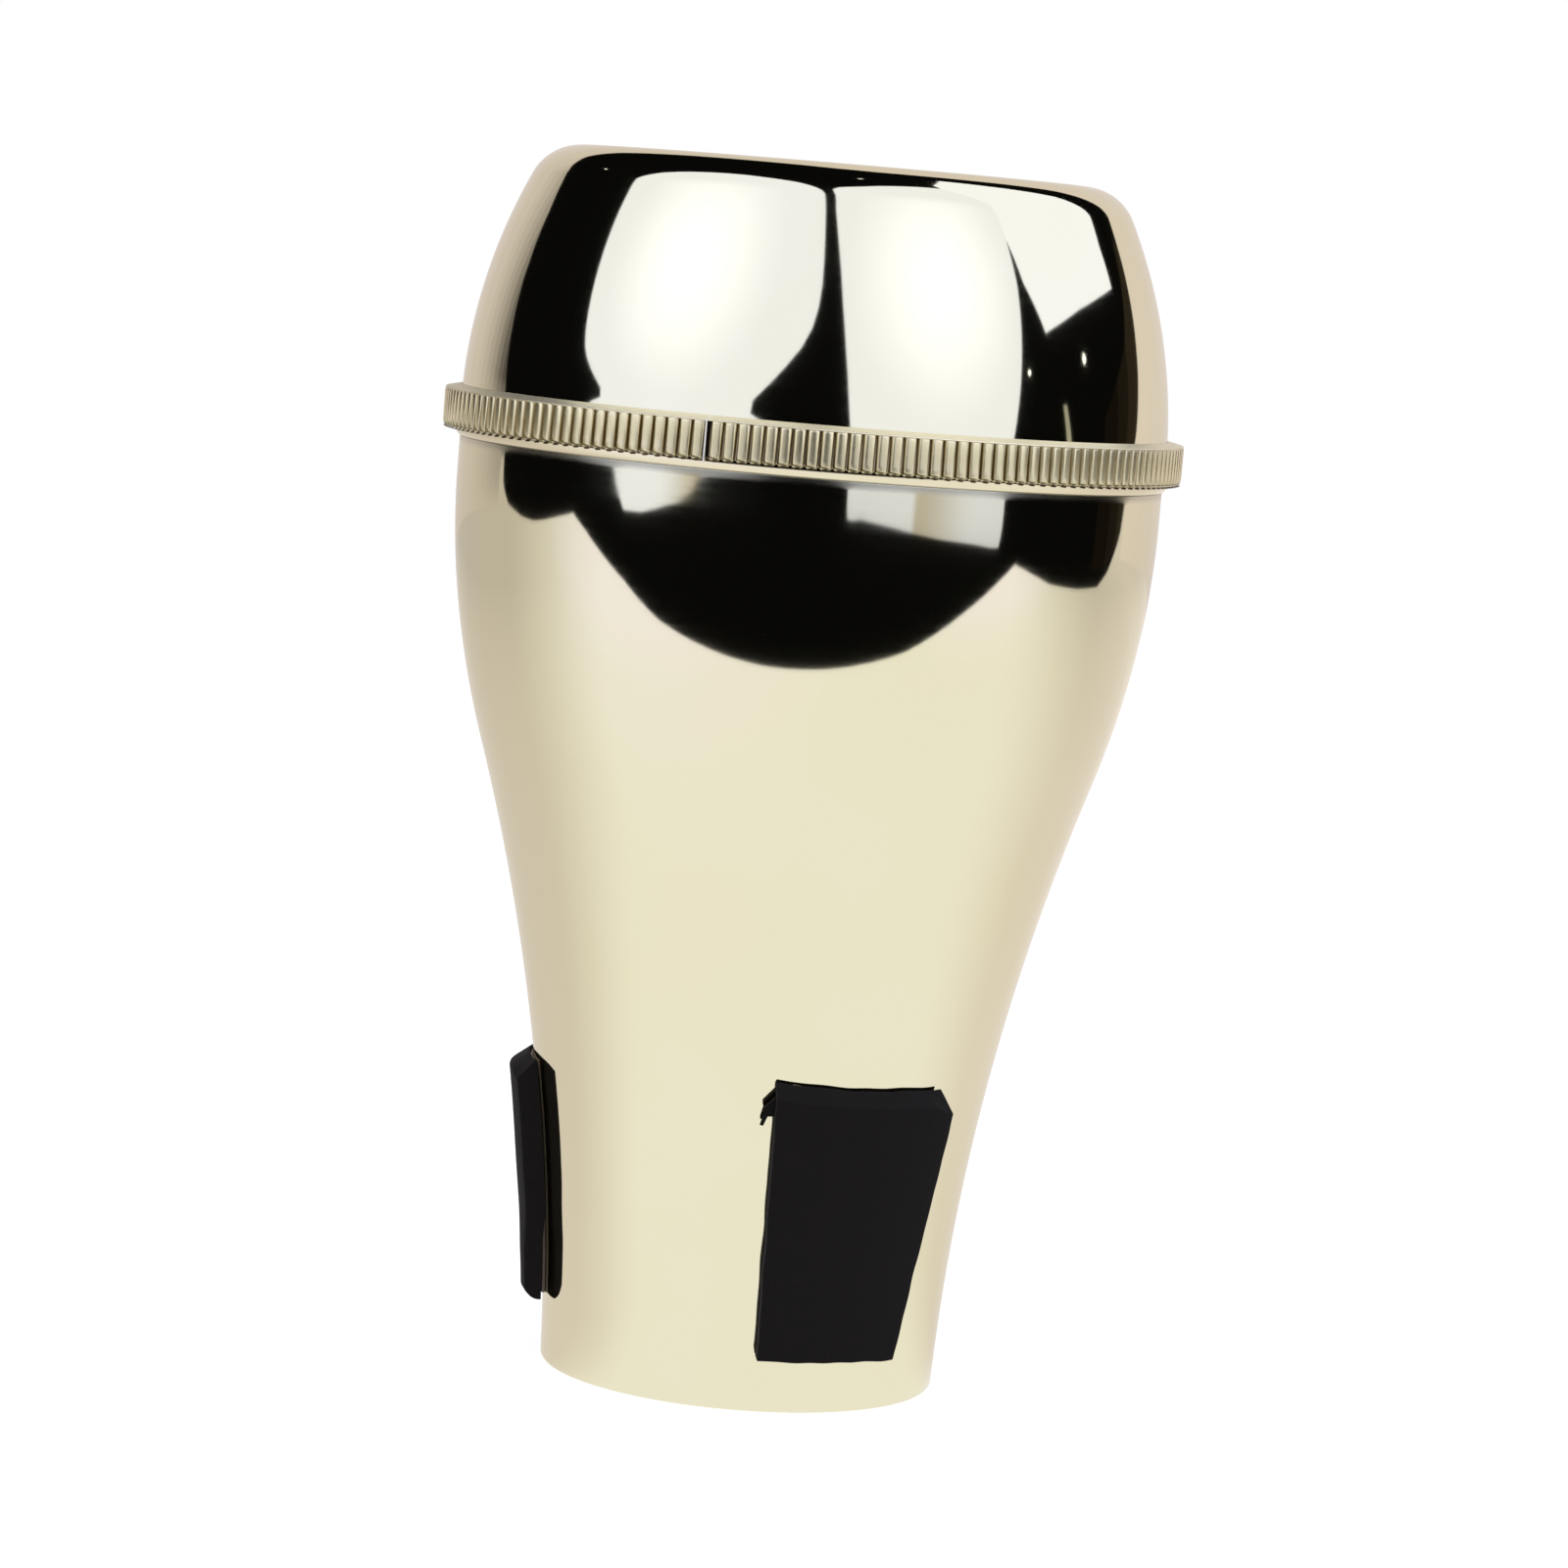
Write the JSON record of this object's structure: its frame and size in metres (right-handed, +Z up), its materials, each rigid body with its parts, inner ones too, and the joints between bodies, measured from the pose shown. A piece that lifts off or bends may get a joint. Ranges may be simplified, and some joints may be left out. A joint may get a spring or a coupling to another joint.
{
  "type": "trombone straight mute",
  "caption": "Hollow pear-shaped metal mute with an open throat, foam pads and a closed end cap that unscrews at a knurled ring.",
  "frame": {"origin": "middle of the throat's rim, the face that the mute stands on in the picture", "axes": "+Z up along the mute's axis, from the open throat to the closed end cap; -Y is the side that the picture shows; +X to the right"},
  "size_m": [0.115, 0.115, 0.19],
  "materials": {
    "body_brass": "spun, polished to a mirror and lacquered",
    "ring_brass": "turned and polished",
    "band_brass": "knurled in upright reeds, bright tips and dark grooves",
    "washer_rubber": "matt, thin flat gasket",
    "pad_foam": "matt black closed-cell foam with fine pores and knife-cut edges",
    "pad_tape": "thin double-sided tape, dull brown at its edges"
  },
  "bodies": {
    "mute_body": {"throat_body": "body_brass", "threaded_collar": "ring_brass", "front_foam_pad": "pad_foam", "left_foam_pad": "pad_foam", "rear_foam_pad": "pad_foam", "front_pad_tape": "pad_tape", "left_pad_tape": "pad_tape", "rear_pad_tape": "pad_tape"},
    "seal": {"sealing_washer": "washer_rubber"},
    "cap": {"end_cap": "body_brass", "threaded_ring": "ring_brass", "knurled_band": "band_brass"}
  },
  "joints": [
    {"name": "cap_lift", "type": "slide", "parent": "mute_body", "child": "seal", "axis": [0, 0, 1], "range_m": [0, 0.00413]},
    {"name": "cap_unscrew", "type": "hinge", "parent": "seal", "child": "cap", "pos_m": [0, 0, 0.1484], "axis": [0, 0, 1], "range_deg": [0, 990]}
  ],
  "couplings": [
    {"joint": "cap_lift", "follows": "cap_unscrew", "m_per_rad": 0.00023873}
  ]
}
